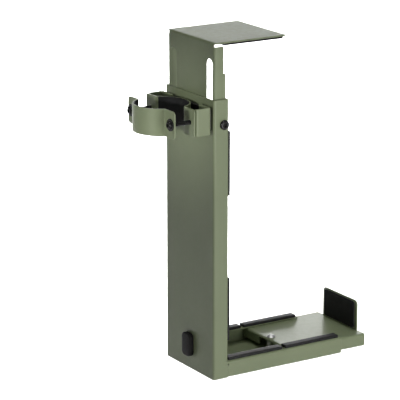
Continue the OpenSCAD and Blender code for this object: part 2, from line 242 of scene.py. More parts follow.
def sheet_mesh(loops, fold, lines, thick=SHEET, edge=EDGE, steps=3):
    """Folded sheet with rounded edges. The flat outline is triangulated between its fold lines, both faces
    are laid at half a thickness from the fold, and the edges are rounded by narrow rings between them."""
    loops = [split(loop, lines) for loop in loops]
    outs = [[outward(loop, i) for i in range(len(loop))] for loop in loops]
    bevel = [(edge * (1 - math.cos(t)), thick / 2 - edge * (1 - math.sin(t)), t)
             for t in (math.pi / 2 * k / steps for k in range(steps + 1))]
    inner = [[p - out * edge for p, out in zip(loop, out_loop)] for loop, out_loop in zip(loops, outs)]
    flat = [p for loop in inner for p in loop]
    starts = [sum(len(loop) for loop in inner[:i]) for i in range(len(inner))]
    edges = [(s + i, s + (i + 1) % len(loop)) for s, loop in zip(starts, inner) for i in range(len(loop))]
    for a, b in lines:
        edges.append((len(flat), len(flat) + 1))
        flat += [Vector(a), Vector(b)]
    made, _, tris, origin, _, _ = delaunay_2d_cdt(flat, edges, [], 0, 1e-5)
    tris = [t for t in tris if inside(sum((made[i] for i in t), Vector((0, 0))) / len(t), inner)]
    where = {source: i for i, sources in enumerate(origin) for source in sources}
    used = sorted({i for t in tris for i in t})
    points, normals, faces = [], [], []

    def lay(uv, height, normal_height, out=None):
        place, along_u, along_v = fold(uv.x, uv.y)
        face = along_u.cross(along_v)
        points.append(place + face * height)
        tilt = Vector((0, 0, 0)) if out is None else along_u * out.x + along_v * out.y
        normals.append(face * normal_height + tilt)
        return len(points) - 1

    rings = {}
    for side in (1, -1):
        index = {i: lay(made[i], side * thick / 2, side) for i in used}
        faces += [[index[i] for i in (t if side > 0 else reversed(t))] for t in tris]
        for n, (loop, out_loop) in enumerate(zip(loops, outs)):
            for k, (depth, height, turn) in enumerate(bevel[:-1]):
                rings[side, n, k] = [lay(p - out * depth, side * height, side * math.sin(turn),
                                         out.normalized() * math.cos(turn))
                                     for p, out in zip(loop, out_loop)]
            rings[side, n, steps] = [index[where[starts[n] + i]] for i in range(len(loop))]
    for n, loop in enumerate(loops):
        for i in range(len(loop)):
            j = (i + 1) % len(loop)
            for k in range(steps):
                low, high = rings[1, n, k], rings[1, n, k + 1]
                faces.append([low[i], low[j], high[j], high[i]])
                low, high = rings[-1, n, k], rings[-1, n, k + 1]
                faces.append([low[j], low[i], high[i], high[j]])
            top, bottom = rings[1, n, 0], rings[-1, n, 0]
            faces.append([top[i], bottom[i], bottom[j], top[j]])
    return points, faces, normals


def path_length(path):
    return sum(step[0] if len(step) == 1 else step[0] * math.radians(abs(step[1])) for step in path)


def bend_places(path):
    """Distances along a path of flats (length,) and bends (radius, degrees) where fold lines are needed."""
    places, s = set(), 0.0
    for step in path:
        length = path_length([step])
        if len(step) == 2:
            count = max(FOLD_STEPS, round(length / FOLD_GAP))
            places |= {round(s + length * k / count, 6) for k in range(count + 1)}
        s += length
    return sorted(places)


def follow(path, distance, start, heading):
    """Point and direction at a distance along a path of flats and bends; positive bends turn left."""
    point, angle = Vector(start), math.radians(heading)
    for step in path + [(1e6,)]:
        length = path_length([step])
        part = min(distance, length)
        if len(step) == 1:
            point = point + part * Vector((math.cos(angle), math.sin(angle)))
        else:
            radius, turn = step[0], math.copysign(part / step[0], step[1])
            side = math.copysign(1, turn)
            centre = point + side * radius * Vector((-math.sin(angle), math.cos(angle)))
            angle += turn
            point = centre - side * radius * Vector((-math.sin(angle), math.cos(angle)))
        distance -= part
        if distance <= 1e-9:
            break
    return point, Vector((math.cos(angle), math.sin(angle)))


def channel_fold(path, start=(SHEET / 2, 0)):
    """Fold of a section that is the same on both sides of u = 0: x is its depth, y its width, z is v."""
    def fold(u, v):
        point, along = follow(path, abs(u), start, 90)
        side = -1 if u < 0 else 1
        return (Vector((point.x, side * point.y, v)), Vector((side * along.x, along.y, 0)), Vector((0, 0, 1)))
    return fold


def both_ways(places, low, high):
    """Fold lines along v at the given distances on both sides of u = 0."""
    signed = sorted({side * s for s in places for side in (-1, 1)})
    return [(Vector((s, low)), Vector((s, high))) for s in signed]


def across(places, half):
    """Fold lines along u at the given values of v."""
    return [(Vector((-half, v)), Vector((half, v))) for v in places]


def build_sheet(node, shells, place, **options):
    """Piece of one or more folded sheets, each given as its loops, its fold and its fold lines."""
    parts = Parts()
    for loops, fold, lines in shells:
        parts.add(*sheet_mesh(loops, fold, lines, **options), place)
    return make_piece(node, parts.points, parts.faces, parts.normals)


# ---------------- turned pieces

def circle_row(z, radius):
    return lambda a: (radius, z)


def hex_row(z, flats, cap=1e9):
    """Row of a hexagon across flats, cut by a circle of radius cap."""
    def row(a):
        part = (a + math.pi / 6) % (math.pi / 3) - math.pi / 6
        return min(flats / 2 / math.cos(part), cap), z
    return row


def square_row(z, width):
    """Row of a square whose corners are rounded."""
    round_r = 0.8

    def row(a):
        part = (a + math.pi / 4) % (math.pi / 2) - math.pi / 4
        return min(width / 2 / math.cos(part), (width / 2 - round_r) * math.sqrt(2) + round_r), z
    return row


def thread_rows(start, end, radius):
    """Rows of a screw thread between two heights, with a chamfered far end."""
    count = max(2, round(abs(end - start) / THREAD_PITCH * 6))
    step = (end - start) / count

    def at(z, fade):
        def row(a):
            phase = (z / THREAD_PITCH - a / (2 * math.pi)) % 1.0
            crest = min(max(1.3 * abs(2 * phase - 1) - 0.15, 0.0), 1.0)
            groove = THREAD_DEPTH * (1 - crest) * fade
            return radius - groove - 0.6 * THREAD_DEPTH * (1 - fade), z
        return row
    return [at(start + step * k, min(1.0, k / 3, (count - k) / 3)) for k in range(count + 1)]


def turned(rows, sides=36, ring=False):
    """Closed surface through rows of (radius, z) functions of the angle; a ring has no end caps."""
    points, faces = [], []
    for row in rows:
        for k in range(sides):
            a = 2 * math.pi * k / sides
            radius, z = row(a)
            points.append((radius * math.cos(a), radius * math.sin(a), z))
    count = len(rows)
    for r in range(count if ring else count - 1):
        for k in range(sides):
            low, high = r * sides, (r + 1) % count * sides
            j = (k + 1) % sides
            faces.append([low + k, low + j, high + j, high + k])
    if not ring:
        faces.append([k for k in reversed(range(sides))])
        faces.append([(count - 1) * sides + k for k in range(sides)])
    return points, faces


def round_corner(r0, z0, r1, z1, steps=4):
    """Quarter-round rows from (r0, z0) to (r1, z1), leaving along z and arriving along r."""
    return [circle_row(z0 + (z1 - z0) * math.sin(t), r1 + (r0 - r1) * math.cos(t))
            for t in (math.pi / 2 * k / steps for k in range(steps + 1))]


def washer_rows(inner, outer, low, high):
    """Rows of a washer or sleeve with rounded edges, from the bore's bottom round to its top."""
    edge = 0.25
    return ([circle_row(low + edge, inner), circle_row(low, inner + edge)]
            + round_corner(outer, low + edge, outer - edge, low)[::-1]
            + round_corner(outer, high - edge, outer - edge, high)
            + [circle_row(high, inner + edge), circle_row(high - edge, inner)])


def nut_rows(bore, flats, height):
    """Rows of a hex nut with both faces chamfered by a cone, and a chamfered bore."""
    corner = flats / 2 / math.cos(math.pi / 6)
    face = flats / 2 * 0.95
    drop = (corner - face) * math.tan(math.radians(30))
    chamfer = 0.4
    steps = [0, 0.33, 0.66, 1]
    low = [hex_row(drop * s, flats, face + (corner - face) * s) for s in steps]
    high = [hex_row(height - drop * s, flats, face + (corner - face) * s) for s in reversed(steps)]
    return ([circle_row(chamfer, bore), circle_row(0, bore + chamfer)] + low + high
            + [circle_row(height, bore + chamfer), circle_row(height - chamfer, bore)])


def button_rows(head_d, head_h, shank_r, length, socket=4.0):
    """Rows of a button head screw along +z: socket floor, socket, domed head below 0, thread above."""
    head_r = head_d / 2
    depth = 0.6 * head_h
    top = 0.62 * head_r                              # flat top round the socket
    rim = 0.9                                        # height of the rim under the dome
    rows = [hex_row(-head_h + depth, socket * 0.2), hex_row(-head_h + depth, socket * 0.94),
            hex_row(-head_h + depth - 0.15, socket), hex_row(-head_h + 0.25, socket),
            circle_row(-head_h, socket / 2 + 0.55)]
    for k in range(7):
        t = math.pi / 2 * k / 6
        rows.append(circle_row(-rim - (head_h - rim) * math.cos(t), top + (head_r - top) * math.sin(t)))
    rows += [circle_row(-0.35, head_r), circle_row(-0.1, head_r - 0.12), circle_row(0, head_r - 0.35),
             circle_row(0, shank_r + 0.3), circle_row(0.3, shank_r)]
    rows += thread_rows(0.6, length - 0.5, shank_r)
    rows += [circle_row(length, shank_r - 0.75)]
    return rows


# ---------------- blocks and strips

def loft(rows):
    """Closed surface through rings of points, capped at both ends."""
    sides = len(rows[0])
    points = [p for row in rows for p in row]
    faces = [[r * sides + k, r * sides + (k + 1) % sides,
              (r + 1) * sides + (k + 1) % sides, (r + 1) * sides + k]
             for r in range(len(rows) - 1) for k in range(sides)]
    faces.append(list(reversed(range(sides))))
    faces.append([(len(rows) - 1) * sides + k for k in range(sides)])
    return points, faces


def pillow(size, corner, edge, crown, seed, ripple):
    """Die-cut block with round corners seen along its thickness, soft edges and a slightly domed face.
    It stands on its base face, with a corner at the origin; its thickness is along local z."""
    width, depth, thick = size
    wave = 9.0                                       # mm that the ripple is scaled by
    outline = rounded([(0, 0, corner), (width, 0, corner), (width, depth, corner), (0, depth, corner)], 6)
    count = len(outline)
    outs = [outward(outline, i) for i in range(count)]
    centre = Vector((width / 2, depth / 2))
    rows = [[(p - out * edge * 0.4, 0.0) for p, out in zip(outline, outs)],
            [(p, edge * 0.4) for p in outline]]
    for k in range(6):
        t = math.pi / 2 * k / 5
        rows.append([(p - out * edge * (1 - math.cos(t)), thick - crown - edge * (1 - math.sin(t)))
                     for p, out in zip(outline, outs)])
    rim = [p - out * edge for p, out in zip(outline, outs)]
    for k in range(1, 8):
        f = 1 - k / 8
        rise = crown * (1 - f ** 3)
        ring = [centre + (p - centre) * f for p in rim]
        waves = [ripple * noise.noise(Vector((p.x / wave, p.y / wave, seed))) * (1 - f ** 4) for p in ring]
        rows.append([(p, thick - crown + rise + height) for p, height in zip(ring, waves)])
    return loft([[(p.x, p.y, h) for p, h in row] for row in rows])


# ---------------- finishes

def new_material(name):
    made = bpy.data.materials.new(name)
    made.use_nodes = True
    tree = made.node_tree
    shader = tree.nodes["Principled BSDF"]
    place = tree.nodes.new("ShaderNodeTexCoord").outputs["Object"]
    return made, tree, shader, place


def link(tree, output, socket):
    tree.links.new(output, socket)


def noise_node(tree, place, cell_mm, detail, rough=0.5, stretch=None):
    """Noise whose cells measure cell_mm."""
    if stretch:
        mapping = tree.nodes.new("ShaderNodeMapping")
        mapping.inputs["Scale"].default_value = stretch
        link(tree, place, mapping.inputs["Vector"])
        place = mapping.outputs["Vector"]
    node = tree.nodes.new("ShaderNodeTexNoise")
    node.inputs["Scale"].default_value = 1 / (cell_mm * MM)
    node.inputs["Detail"].default_value = detail
    node.inputs["Roughness"].default_value = rough
    link(tree, place, node.inputs["Vector"])
    return node.outputs["Fac"]


def spread(tree, value, low, high, start=0.3, end=0.7):
    """Maps a noise value to a range."""
    node = tree.nodes.new("ShaderNodeMapRange")
    node.inputs["From Min"].default_value = start
    node.inputs["From Max"].default_value = end
    node.inputs["To Min"].default_value = low
    node.inputs["To Max"].default_value = high
    link(tree, value, node.inputs["Value"])
    return node.outputs["Result"]


def blend_colours(tree, factor, first, second):
    """Mixes two colours, each a node's output or three numbers, by a node's output."""
    node = tree.nodes.new("ShaderNodeMix")
    node.data_type = "RGBA"
    for name, value in (("A", first), ("B", second)):
        socket = next(s for s in node.inputs if s.name == name and s.type == "RGBA")
        if hasattr(value, "links"):
            link(tree, value, socket)
        else:
            socket.default_value = (*value, 1)
    link(tree, factor, node.inputs["Factor"])
    return next(s for s in node.outputs if s.type == "RGBA")


def bump(tree, shader, heights):
    """Chains bumps, each (height, depth in mm, strength)."""
    last = None
    for height, depth_mm, strength in heights:
        node = tree.nodes.new("ShaderNodeBump")
        node.inputs["Distance"].default_value = depth_mm * MM
        node.inputs["Strength"].default_value = strength
        link(tree, height, node.inputs["Height"])
        if last:
            link(tree, last, node.inputs["Normal"])
        last = node.outputs["Normal"]
    link(tree, last, shader.inputs["Normal"])


def edge_wear_and_highlight(tree, colour, worn_and_lit, amount):
    """Lets the finish thin out on outer edges, where the surface curves most, and paints a highlight there: the
    colour is lighter on convex edges, partly as wear and partly as a painted highlight.
    """
    geometry = tree.nodes.new("ShaderNodeNewGeometry")
    wear_and_highlight_factor = spread(tree, geometry.outputs["Pointiness"], 0.0, amount, 0.52, 0.6)
    return blend_colours(tree, wear_and_highlight_factor, colour, worn_and_lit)


def powder_coat():
    """Matt olive powder coat: fine orange peel, pale specks and a faint drift in colour."""
    made, tree, shader, place = new_material("powder_coat_olive")
    drift = spread(tree, noise_node(tree, place, 90, 3), 0, 1, 0.35, 0.65)
    grain = spread(tree, noise_node(tree, place, 0.55, 3, 0.6), 0, 1)
    colour = blend_colours(tree, drift, OLIVE_DEEP, OLIVE)
    colour = blend_colours(tree, spread(tree, grain, 0.0, 0.16, 0, 1), colour, OLIVE_SPECK)
    link(tree, colour, shader.inputs["Base Color"])
    link(tree, spread(tree, noise_node(tree, place, 6, 4), 0.32, 0.40), shader.inputs["Roughness"])
    shader.inputs["Specular IOR Level"].default_value = 0.38
    peel = noise_node(tree, place, 1.3, 2, 0.4)
    bump(tree, shader, [(peel, 0.05, 0.35), (noise_node(tree, place, 0.35, 2), 0.02, 0.35)])
    return made


def rubber(name, base, dusty, cell_mm, rough, depth_mm):
    """Black rubber with a fine pressed grain and a trace of dust."""
    made, tree, shader, place = new_material(name)
    dust = spread(tree, noise_node(tree, place, 14, 5, 0.65), 0, 1, 0.42, 0.75)
    grain = noise_node(tree, place, cell_mm, 3, 0.6)
    colour = blend_colours(tree, dust, base, dusty)
    colour = blend_colours(tree, spread(tree, grain, 0, 0.35), colour, dusty)
    link(tree, colour, shader.inputs["Base Color"])
    link(tree, spread(tree, grain, rough - 0.08, rough + 0.08), shader.inputs["Roughness"])
    shader.inputs["Specular IOR Level"].default_value = 0.25
    bump(tree, shader, [(noise_node(tree, place, 5, 2), 0.08, 0.3), (grain, depth_mm, 0.5)])
    return made


def foam():
    """Charcoal closed-cell foam: small pits all over, with painted shade in each pit."""
    made, tree, shader, place = new_material("pad_foam_black")
    cells = tree.nodes.new("ShaderNodeTexVoronoi")
    cells.inputs["Scale"].default_value = 1 / (0.9 * MM)
    link(tree, place, cells.inputs["Vector"])
    pits = cells.outputs["Distance"]
    cloud = noise_node(tree, place, 11, 4)
    # painted shade: the colour is darkest at the bottom of each pit and lighter towards its rim
    painted_pit_shade = spread(tree, pits, 0, 1, 0.1, 0.7)
    colour = blend_colours(tree, painted_pit_shade, (0.004, 0.004, 0.004), (0.011, 0.011, 0.011))
    colour = blend_colours(tree, spread(tree, cloud, 0, 0.4), colour, (0.014, 0.014, 0.014))
    link(tree, colour, shader.inputs["Base Color"])
    link(tree, spread(tree, cloud, 0.82, 0.95), shader.inputs["Roughness"])
    shader.inputs["Specular IOR Level"].default_value = 0.3
    bump(tree, shader, [(cloud, 0.15, 0.3), (pits, 0.12, 0.6)])
    return made


def plastic():
    """Moulded black plastic with a fine spark-eroded texture."""
    made, tree, shader, place = new_material("black_plastic_moulded")
    grain = noise_node(tree, place, 0.6, 4, 0.7)
    cloud = noise_node(tree, place, 20, 2)
    link(tree, blend_colours(tree, spread(tree, cloud, 0, 1), (0.008, 0.008, 0.009), (0.013, 0.013, 0.013)),
         shader.inputs["Base Color"])
    link(tree, spread(tree, grain, 0.42, 0.6), shader.inputs["Roughness"])
    bump(tree, shader, [(grain, 0.04, 0.5)])
    return made


def black_steel():
    """Black-oxide screws: a thin dark layer, lighter along the edges, partly as rubbed wear and partly as a
    painted highlight.
    """
    made, tree, shader, place = new_material("black_steel_oxide")
    cloud = noise_node(tree, place, 2.5, 4, 0.6)
    colour = blend_colours(tree, spread(tree, cloud, 0, 1), (0.004, 0.004, 0.004), (0.010, 0.010, 0.010))
    # lighter colour on convex edges: partly wear, partly a painted highlight
    link(tree, edge_wear_and_highlight(tree, colour, (0.05, 0.05, 0.05), 0.35), shader.inputs["Base Color"])
    link(tree, spread(tree, cloud, 0.14, 0.26), shader.inputs["Roughness"])
    shader.inputs["Specular IOR Level"].default_value = 0.3
    bump(tree, shader, [(noise_node(tree, place, 0.4, 3), 0.012, 0.4)])
    return made


def zinc_steel():
    """Zinc-plated steel: bright, slightly clouded, with fine scratches."""
    made, tree, shader, place = new_material("zinc_steel_plated")
    cloud = noise_node(tree, place, 3, 4, 0.6)
    scratch = noise_node(tree, place, 0.35, 3, 0.6, (0.15, 1, 1))
    colour = blend_colours(tree, spread(tree, cloud, 0, 1), (0.42, 0.42, 0.42), (0.52, 0.52, 0.51))
    # lighter colour on convex edges: partly wear, partly a painted highlight
    link(tree, edge_wear_and_highlight(tree, colour, (0.60, 0.60, 0.59), 0.6), shader.inputs["Base Color"])
    link(tree, spread(tree, scratch, 0.38, 0.50), shader.inputs["Roughness"])
    shader.inputs["Metallic"].default_value = 1.0
    bump(tree, shader, [(scratch, 0.01, 0.3)])
    return made


OLIVE = (0.180, 0.212, 0.122)
OLIVE_DEEP = (0.166, 0.197, 0.112)
OLIVE_SPECK = (0.215, 0.243, 0.155)
FINISH = {
    "powder_coat": powder_coat(),
    "strip_rubber": rubber("strip_rubber_black", (0.006, 0.006, 0.006), (0.016, 0.016, 0.016),
                           cell_mm=0.7, rough=0.60, depth_mm=0.05),
    "liner_rubber": rubber("liner_rubber_black", (0.005, 0.005, 0.005), (0.014, 0.014, 0.014),
                           cell_mm=0.5, rough=0.70, depth_mm=0.03),
    "pad_foam": foam(),
    "black_plastic": plastic(),
    "black_steel": black_steel(),
    "zinc_steel": zinc_steel(),
}


# ---------------- the frame's two channels

SLIT = 0.6                                           # width of the cuts at the channels' corner
PAST = 5.0                                           # how far fold lines run past the sheet
ENDLESS = [(1000.0,)]                                # a fold that stays flat
RELIEF_R = 1.1
RELIEF_DROP = 5.0                                    # below the lips, at the inner corner
CHANNEL = [(CHANNEL_W / 2 - OUTER,), (BEND, -90), (CHANNEL_D - 2 * OUTER,), (BEND, -90), (LIP - OUTER,)]
WEB_HALF = CHANNEL_W / 2 - OUTER                     # flat half of the web
FLANGE_START = WEB_HALF + ARC                        # where the flange's flat starts
FLANGE_END = FLANGE_START + CHANNEL_D - 2 * OUTER
LIP_END = path_length(CHANNEL)
bracket_screw_low, bracket_screw_high = corners("bracket_screws")
SCREW_Y = bracket_screw_high.y - (bracket_screw_high.z - bracket_screw_low.z) / 2
CLAMP_Z = -HOLDER.z                                  # height of the clamp above the base's underside
height_screw_low, height_screw_high = corners("height_screw_front")
HEIGHT_SCREW = (height_screw_low + height_screw_high) / 2 - HOLDER


def half_round(u, v, radius, start, steps=8):
    """Corners of a half-round notch whose centre lies on an edge, from one angle on, turning inwards."""
    return [(u + radius * math.cos(a), v + radius * math.sin(a), 0)
            for a in (math.radians(start) - math.pi * k / steps for k in range(steps + 1))]


def upright_channel():
    """Tall channel: below its lips the flanges run straight, with a half-round relief in each."""
    plain_end = FLANGE_END + OUTER                   # below the lips the flanges run straight
    half = ([(plain_end, 0, 1.2)]
            + half_round(plain_end, CHANNEL_D - RELIEF_DROP, RELIEF_R, 270)
            + [(plain_end, CHANNEL_D, 0.3), (FLANGE_END, CHANNEL_D, 0), (FLANGE_END, CHANNEL_D + SLIT, 0),
               (LIP_END, CHANNEL_D + SLIT, 1.0), (LIP_END, COLUMN_H, 2.0)])
    straight = channel_fold(CHANNEL[:3])
    lipped = channel_fold(CHANNEL)
    screw_u = FLANGE_START + HEIGHT_SCREW.x - OUTER
    loops = [rounded(mirrored(half))]
    loops += [round_hole(side * SCREW_Y, CLAMP_Z, CLEARANCE) for side in (-1, 1)]
    loops += [round_hole(side * screw_u, HEIGHT_SCREW.z, TAPPED) for side in (-1, 1)]
    lip_start = CHANNEL_D + SLIT / 2

    def fold(u, v):
        return straight(u, v) if v < lip_start else lipped(u, v)

    web_bends = [s for s in bend_places(CHANNEL) if s < FLANGE_START + 1]
    lip_bends = [s for s in bend_places(CHANNEL) if s > FLANGE_START + 1]
    lines = both_ways(web_bends, -PAST, COLUMN_H + PAST)
    lines += both_ways(lip_bends, lip_start, COLUMN_H + PAST)
    build_sheet("upright_channel", [(loops, fold, lines)], Matrix.Translation(HOLDER))


def base_channel():
    """Short channel: its floor runs on between the upright's flanges, and has the tray bolt's slot."""
    length = base_high.x - HOLDER.x
    inner_half = CHANNEL_W / 2 - SHEET - 0.1
    flange_start = CHANNEL_D - SLIT
    relief_u = FLANGE_START + CHANNEL_D - RELIEF_DROP - OUTER
    half = ([(inner_half, SHEET + 0.05, 1.4), (inner_half, flange_start, 0),
             (WEB_HALF, flange_start, 0), (WEB_HALF, CHANNEL_D, 0)]
            + half_round(relief_u, CHANNEL_D, RELIEF_R, 180)
            + [(LIP_END, CHANNEL_D, 1.0), (LIP_END, length, 2.0)])
    slot_low = BOLT_X - TRAY_TRAVEL[0] - CLEARANCE / 2
    slot_high = BOLT_X + TRAY_TRAVEL[1] + CLEARANCE / 2
    loops = [rounded(mirrored(half)), slot_hole(0, slot_low, slot_high, CLEARANCE)]
    folded = channel_fold(CHANNEL)
    flat = channel_fold(ENDLESS)
    bend_start = CHANNEL_D - SLIT / 2

    def fold(u, v):
        return flat(u, v) if v < bend_start else folded(u, v)

    lines = both_ways(bend_places(CHANNEL), bend_start, length + PAST)
    place = axes((0, 0, 1), (0, 1, 0), (1, 0, 0), HOLDER)
    build_sheet("base_channel", [(loops, fold, lines)], place)


# ---------------- the height slider

SLIDER_W = slider_high.y - slider_low.y


def upper_slider():
    """Channel with two slots, shallower near its top, where the web bends over into the top plate."""
    depth, top_depth = 17.0, 14.0
    low, high = slider_low.z - HOLDER.z, slider_high.z - HOLDER.z
    step_z, slit_z = high - 41.2, high - 5.7
    slot_ends, slot_w = (high - 212.2, high - 22.1), 16.0
    neck = SLIDER_W / 2 - OUTER
    flange = neck + ARC
    bend_low = high - OUTER
    wide_low = bend_low + ARC / 3
    plate = slider_high.x - slider_low.x - OUTER
    end = bend_low + ARC + plate
    half = [(flange + depth - OUTER, low, 2.0), (flange + depth - OUTER, step_z, 0.6),
            (flange + top_depth - OUTER, step_z, 0.6), (flange + top_depth - OUTER, slit_z, 1.0),
            (neck, slit_z, 0.4), (neck, wide_low, 0), (SLIDER_W / 2, wide_low, 0), (SLIDER_W / 2, end, 1.5)]
    loops = [rounded(mirrored(half))]
    loops += [slot_hole(side * SCREW_Y, *slot_ends, slot_w) for side in (-1, 1)]
    path = [(neck,), (BEND, -90), (depth - OUTER,)]
    lower = channel_fold(path)
    top_path = [(BEND, -90), (plate,)]

    def fold(u, v):
        if v <= bend_low:
            return lower(u, v)
        point, along = follow(top_path, v - bend_low, (SHEET / 2, bend_low), 90)
        return (Vector((point.x, u, point.y)), Vector((0, 1, 0)), Vector((along.x, 0, along.y)))

    lines = both_ways(bend_places(path), low - PAST, slit_z + 1)
    lines += across([bend_low + s for s in bend_places(top_path)], SLIDER_W)
    place = Matrix.Translation((slider_low.x, 0, HOLDER.z))
    build_sheet("upper_slider", [(loops, fold, lines)], place)


# ---------------- the sliding tray

TRAY_W = tray_high.y - tray_low.y


def sliding_tray():
    """Deck with two flanges, a tab bent down at its inner end and the stop bent up at its outer end."""
    deck_top = bolt_high.z - HOLDER.z - BOLT_HEAD_H
    depth = deck_top - (tray_low.z - HOLDER.z)
    start, end = tray_low.x - HOLDER.x, tray_high.x - HOLDER.x
    stop_half = 40.2
    stop_top = tray_high.z - HOLDER.z
    tab_low = deck_top - 13.5
    notch_half = 16.0
    relief = 1.5
    flat_half = TRAY_W / 2 - OUTER
    flange = flat_half + ARC
    tab_v = start + OUTER                            # the end tab's bend starts here, going back
    tab_end = tab_v - ARC - (deck_top - OUTER - tab_low)
    stop_v = end - OUTER                             # the end stop's bend starts here
    stop_end = stop_v + ARC + stop_top - (deck_top - SHEET / 2 + BEND)
    rim = flange + depth - OUTER
    half = [(notch_half, tab_v - ARC, 1.0), (notch_half, tab_end, 1.5), (flat_half - 0.9, tab_end, 2.0),
            (flat_half - 0.9, tab_v + 0.4, 0), (flat_half, tab_v + 0.4, 0), (flat_half, start, 0),
            (rim, start, 2.0), (rim, end, 2.0), (stop_half + relief, end, 1.0),
            (stop_half + relief, stop_v - 1.0, 0.7), (stop_half, stop_v - 1.0, 0.7),
            (stop_half, stop_end, 6.0)]
    neck = 3.1                                       # half the square hole for the bolt's neck
    square = [(-neck, -neck), (-neck, neck), (neck, neck), (neck, -neck)]
    hole = rounded([(u, BOLT_X + v, 0.5) for u, v in square])
    loops = [rounded(mirrored(half)), hole]
    path = [(flat_half,), (BEND, -90), (depth - OUTER,)]
    sides = channel_fold(path)
    mid = SHEET / 2
    end_bend = [(BEND, 90)]

    def fold(u, v):
        if abs(u) < flat_half - 0.4 and v < tab_v:
            point, along = follow(end_bend, tab_v - v, (mid, tab_v), 270)
            return (Vector((point.x, u, point.y)), Vector((0, 1, 0)), Vector((-along.x, 0, -along.y)))
        if abs(u) < stop_half + relief / 2 and v > stop_v:
            point, along = follow(end_bend, v - stop_v, (mid, stop_v), 90)
            return (Vector((point.x, u, point.y)), Vector((0, 1, 0)), Vector((along.x, 0, along.y)))
        return sides(u, v)

    lines = both_ways(bend_places(path), start - 1, end + PAST)
    lines += across([tab_v - s for s in bend_places(end_bend)], flat_half - 0.5)
    lines += across([stop_v + s for s in bend_places(end_bend)], stop_half + relief / 2)
    place = axes((0, 0, -1), (0, 1, 0), (1, 0, 0), (HOLDER.x, 0, HOLDER.z + deck_top))
    build_sheet("sliding_tray", [(loops, fold, lines)], place)


# ---------------- the leg clamp

LEG_R = 35.0
LINER = 1.0
BAND_R = LEG_R + LINER + SHEET / 2                   # middle of the steel band
EAR_BEND = 3.0                                       # at the middle of the sheet
clamp_head_low, clamp_head_high = corners("clamp_screw_rear")
CLAMP_Y = (clamp_head_low.y + clamp_head_high.y) / 2


def band_path(ear_mid, ear_end):
    """Half of a band from its middle: round the leg, back through the ear's bend, then the flat ear."""
    centre_x = ear_mid + EAR_BEND
    angle = math.degrees(math.acos(centre_x / (BAND_R + EAR_BEND)))
    ear_y = (BAND_R + EAR_BEND) * math.sin(math.radians(angle))
    return [(BAND_R, angle), (EAR_BEND, -angle), (ear_end - ear_y,)], ear_y


def clamp_strap():
    """Steel band round the side of the leg away from the upright, with two ears."""
    half_h = (strap_high.z - strap_low.z) / 2
    path, ear_y = band_path(-strap_high.x + SHEET / 2, strap_high.y)
    ear_s = path_length(path[:2])
    end = path_length(path)
    half = [(end, -half_h, 5.0), (end, half_h, 5.0)]
    loops = [rounded(mirrored(half), 8)]
    loops += [round_hole(side * (ear_s + CLAMP_Y - ear_y), 0, CLEARANCE) for side in (-1, 1)]
    lines = both_ways(bend_places(path), -half_h - PAST, half_h + PAST)
    place = axes((-1, 0, 0), (0, 1, 0), (0, 0, 1))
    build_sheet("clamp_strap", [(loops, channel_fold(path, (BAND_R, 0)), lines)], place)


def liner(node, sign):
    """Thin rubber between the leg and the steel, on the side that sign gives along x."""
    low, high = corners(node)
    half_h = (high.z - low.z) / 2
    radius = LEG_R + LINER / 2
    reach = math.degrees(math.asin(high.y / (LEG_R + LINER)))
    path = [(radius, reach)]
    end = path_length(path)
    loops = [rounded(mirrored([(end, -half_h, 1.0), (end, half_h, 1.0)]))]
    lines = both_ways(bend_places(path)[:-1], -half_h - PAST, half_h + PAST)
    place = axes((sign, 0, 0), (0, 1, 0), (0, 0, 1))
    shell = (loops, channel_fold(path, (radius, 0)), lines)
    build_sheet(node, [shell], place, thick=LINER - 0.02, edge=0.2)


def clamp_bracket():
    """Saddle behind the leg with two ears, and a folded side wall and foot behind each ear."""
    half_h = (bracket_high.z - bracket_low.z) / 2
    ear_mid = bracket_low.x + SHEET / 2
    flange_y, foot_y = 55.6, 33.0                    # inner ends of the walls' two flanges
    path, ear_y = band_path(ear_mid, bracket_high.y)
    end = path_length(path)
    ear_s = path_length(path[:2])
    ears = [rounded(mirrored([(end, -half_h, 3.0), (end, half_h, 3.0)]))]
    ears += [round_hole(side * (ear_s + CLAMP_Y - ear_y), 0, CLEARANCE) for side in (-1, 1)]
    lines = both_ways(bend_places(path), -half_h - PAST, half_h + PAST)
    shells = [(ears, channel_fold(path, (BAND_R, 0)), lines)]
    groove = 1.0
    wall_x = bracket_low.x + SHEET * 1.5 + groove    # the walls start as narrow flanges behind the ears
    wall = bracket_high.x - OUTER - wall_x - BEND
    wall_path = [(bracket_high.y - OUTER - flange_y,), (BEND, -90), (wall,), (BEND, -90),
                 (bracket_high.y - OUTER - foot_y,)]
    wall_end = path_length(wall_path)
    foot_s = wall_end - (SCREW_Y - foot_y)
    outline = [(0, -half_h, 2.5), (wall_end, -half_h, 2.0), (wall_end, half_h, 2.0), (0, half_h, 2.5)]
    for side in (-1, 1):
        loops = [rounded(outline), round_hole(foot_s, 0, CLEARANCE)]

        def fold(u, v, side=side):
            point, along = follow(wall_path, u, (wall_x, flange_y), 90)
            if side > 0:
                return (Vector((point.x, point.y, v)), Vector((along.x, along.y, 0)), Vector((0, 0, 1)))
            return (Vector((point.x, -point.y, -v)), Vector((along.x, -along.y, 0)), Vector((0, 0, -1)))

        lines = [(Vector((s, -half_h - PAST)), Vector((s, half_h + PAST))) for s in bend_places(wall_path)]
        shells.append((loops, fold, lines))
    build_sheet("clamp_bracket", shells, Matrix())


def bracket_spacer():
    """Plastic plate between the bracket's feet and the upright."""
    low, high = corners("bracket_spacer")
    half_w, half_h = high.y, high.z
    thick = high.x - low.x
    loops = [rounded(mirrored([(half_w, -half_h, 3.0), (half_w, half_h, 3.0)]))]
    loops += [round_hole(side * SCREW_Y, 0, CLEARANCE) for side in (-1, 1)]
    place = Matrix.Translation((low.x + thick / 2, 0, 0))
    build_sheet("bracket_spacer", [(loops, channel_fold(ENDLESS, (0, 0)), [])], place, thick=thick, edge=0.7)


# ---------------- rubber and foam

